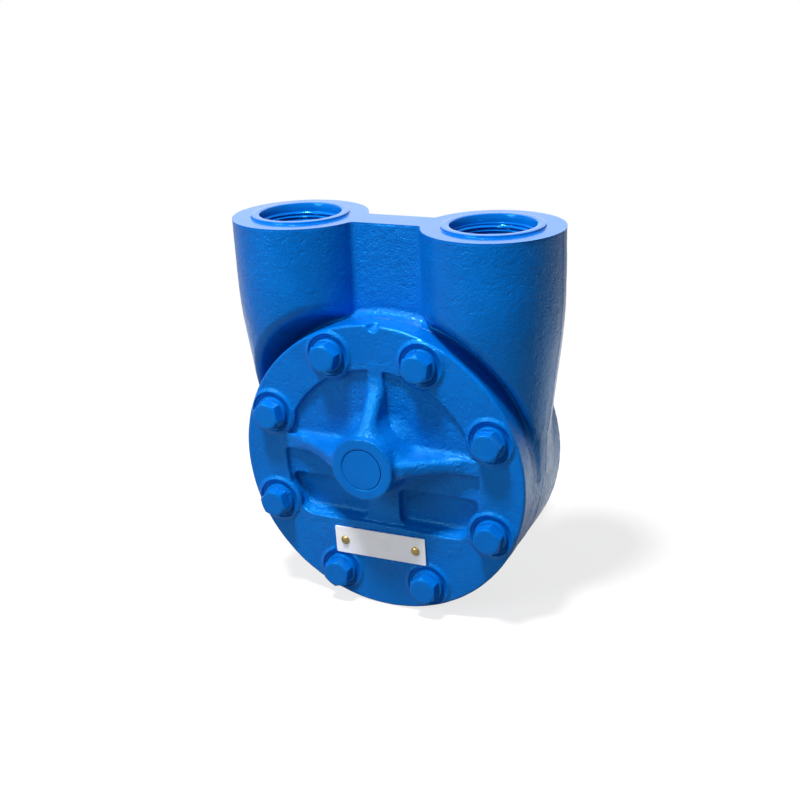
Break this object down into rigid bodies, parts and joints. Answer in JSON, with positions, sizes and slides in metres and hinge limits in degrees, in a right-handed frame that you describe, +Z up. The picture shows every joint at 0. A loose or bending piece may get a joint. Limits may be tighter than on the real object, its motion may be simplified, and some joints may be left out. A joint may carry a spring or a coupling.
{
  "type": "rotary gear pump",
  "caption": "Internal gear pump: round casing with a bolted ribbed cover, a threaded port on each of the top columns and a keyed shaft at the back.",
  "frame": {"origin": "shaft axis at the rear mounting face", "axes": "+Y out along the drive end of the shaft, +Z up to the ports, front cover facing -Y, +X to the right seen from the front"},
  "size_m": [0.2058, 0.2207, 0.2391],
  "materials": {
    "casting_paint": "gloss enamel over a sand casting",
    "bolt_paint": "gloss enamel over steel",
    "gasket_fibre": "compressed fibre, painted over at its edge",
    "pin_steel": "ground steel, its end painted with the cover",
    "gear_iron": "machined iron",
    "bearing_bronze": "bronze, machined",
    "shaft_steel": "turned and ground",
    "bearing_steel": "polished bearing steel",
    "seal_rubber": "nitrile rubber",
    "seal_carbon": "lapped carbon",
    "seal_ceramic": "lapped ceramic",
    "plate_metal": "satin, bare",
    "screw_brass": "bright",
    "screw_steel": "dark oxide"
  },
  "bodies": {
    "pump": {"pump_body": "casting_paint", "front_cover": "casting_paint", "cover_gasket": "gasket_fibre", "cover_bolts": "bolt_paint", "lock_washers": "bolt_paint", "idler_pin": "pin_steel", "shaft_bushing": "bearing_bronze", "thrust_washer": "bearing_bronze", "seal_seat": "seal_ceramic", "seat_ring": "seal_rubber", "housing_gasket": "gasket_fibre", "bearing_housing": "casting_paint", "housing_screws": "screw_steel", "bearing_outer_ring": "bearing_steel", "housing_snap_ring": "screw_steel", "dust_seal": "seal_rubber", "nameplate": "plate_metal", "nameplate_screws": "screw_brass"},
    "shaft": {"drive_shaft": "shaft_steel", "rotor": "gear_iron", "rotor_key": "shaft_steel", "seal_collar": "shaft_steel", "seal_spring": "shaft_steel", "seal_bellows": "seal_rubber", "seal_face": "seal_carbon", "bearing_inner_ring": "bearing_steel", "shaft_snap_ring": "screw_steel"},
    "idler": {"idler_gear": "gear_iron", "idler_bushing": "bearing_bronze"},
    "ball_cage": {"bearing_balls": "bearing_steel", "bearing_cage": "bearing_bronze"}
  },
  "joints": [
    {"name": "shaft_spin", "type": "hinge", "parent": "pump", "child": "shaft", "pos_m": [0, 0, 0], "axis": [0, 1, 0], "continuous": true},
    {"name": "idler_spin", "type": "hinge", "parent": "pump", "child": "idler", "pos_m": [0, 0, 0.01125], "axis": [0, 1, 0], "continuous": true},
    {"name": "cage_spin", "type": "hinge", "parent": "pump", "child": "ball_cage", "pos_m": [0, 0, 0], "axis": [0, 1, 0], "continuous": true}
  ],
  "couplings": [
    {"joint": "idler_spin", "follows": "shaft_spin", "ratio": 1.3333},
    {"joint": "cage_spin", "follows": "shaft_spin", "ratio": 0.38149}
  ]
}
